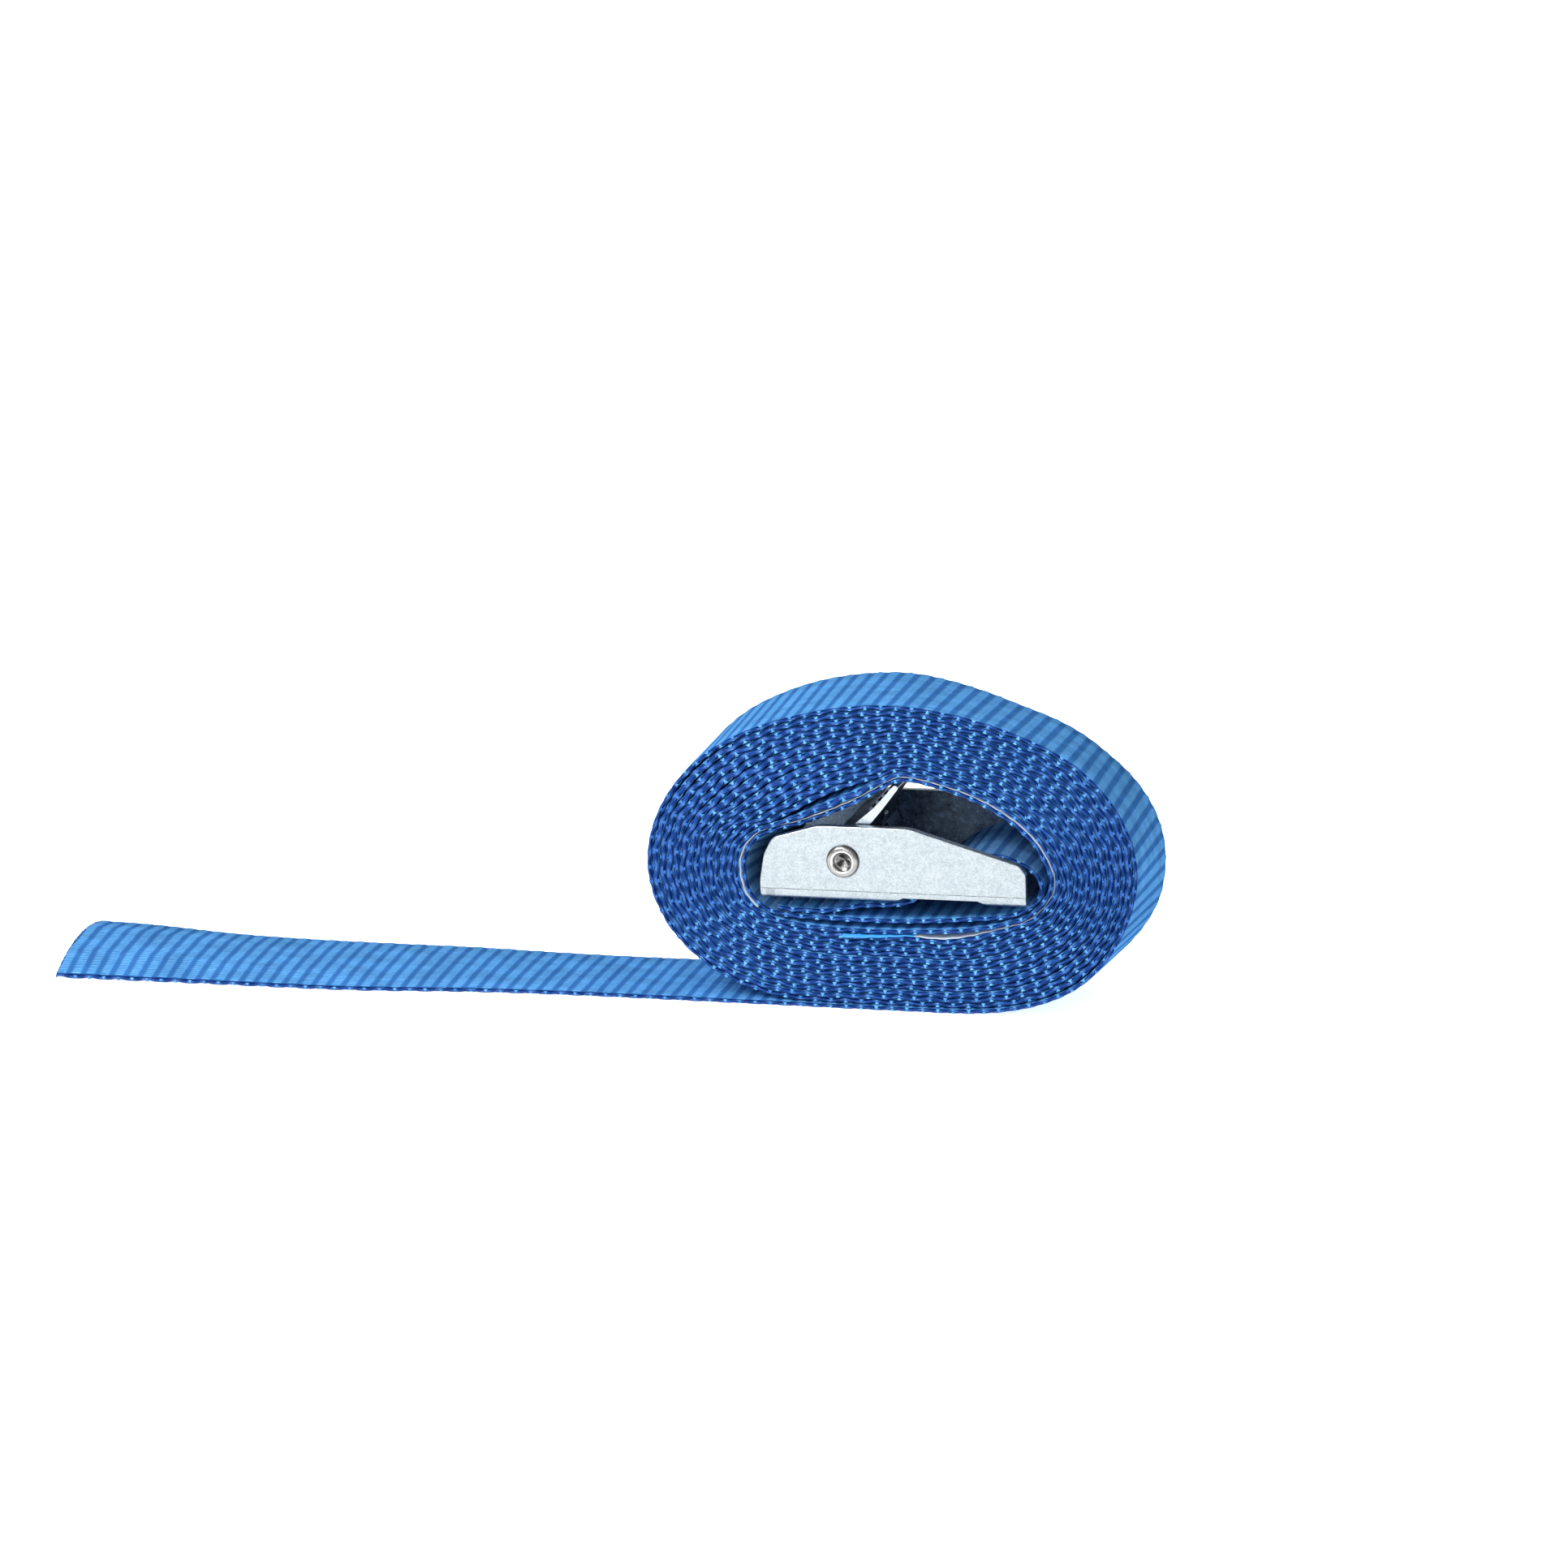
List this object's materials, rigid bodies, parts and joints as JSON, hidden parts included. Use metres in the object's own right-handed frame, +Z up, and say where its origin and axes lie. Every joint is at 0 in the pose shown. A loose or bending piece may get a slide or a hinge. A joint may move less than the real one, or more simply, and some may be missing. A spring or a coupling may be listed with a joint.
{
  "type": "cam buckle tie-down strap",
  "caption": "Lashing strap of ribbed webbing with a spring-loaded cam buckle, rolled up on edge round its buckle with the free end laid out flat.",
  "frame": {"origin": "middle of the outline, on the surface that the roll and the tail lie on", "axes": "+X along the strap from its free end to the roll, +Y across the webbing, +Z up"},
  "size_m": [0.2145, 0.0327, 0.0595],
  "materials": {
    "plated_steel": "zinc plated, lightly marked",
    "cast_zinc": "cast and zinc plated",
    "spring_steel": "dark drawn wire",
    "webbing": "ribbed woven polyester",
    "label": "thin satin tape",
    "thread": "twisted polyester thread"
  },
  "bodies": {
    "strap_and_frame": {"buckle_frame": "plated_steel", "pivot_rivet": "plated_steel", "torsion_spring": "spring_steel", "strap_anchor_loop": "webbing", "strap_first_turn": "webbing", "strap_roll": "webbing", "strap_tail": "webbing", "label_tape": "label", "loop_stitching": "thread"},
    "lever": {"cam_lever": "cast_zinc"}
  },
  "joints": [
    {"name": "lever_pivot", "type": "hinge", "parent": "strap_and_frame", "child": "lever", "pos_m": [0.0519, 0, 0.0295], "axis": [0, 1, 0], "range_deg": [0, 38], "stiffness_Nm_per_rad": 0.06, "springref_deg": -40.11, "deforming": ["torsion_spring"]}
  ]
}
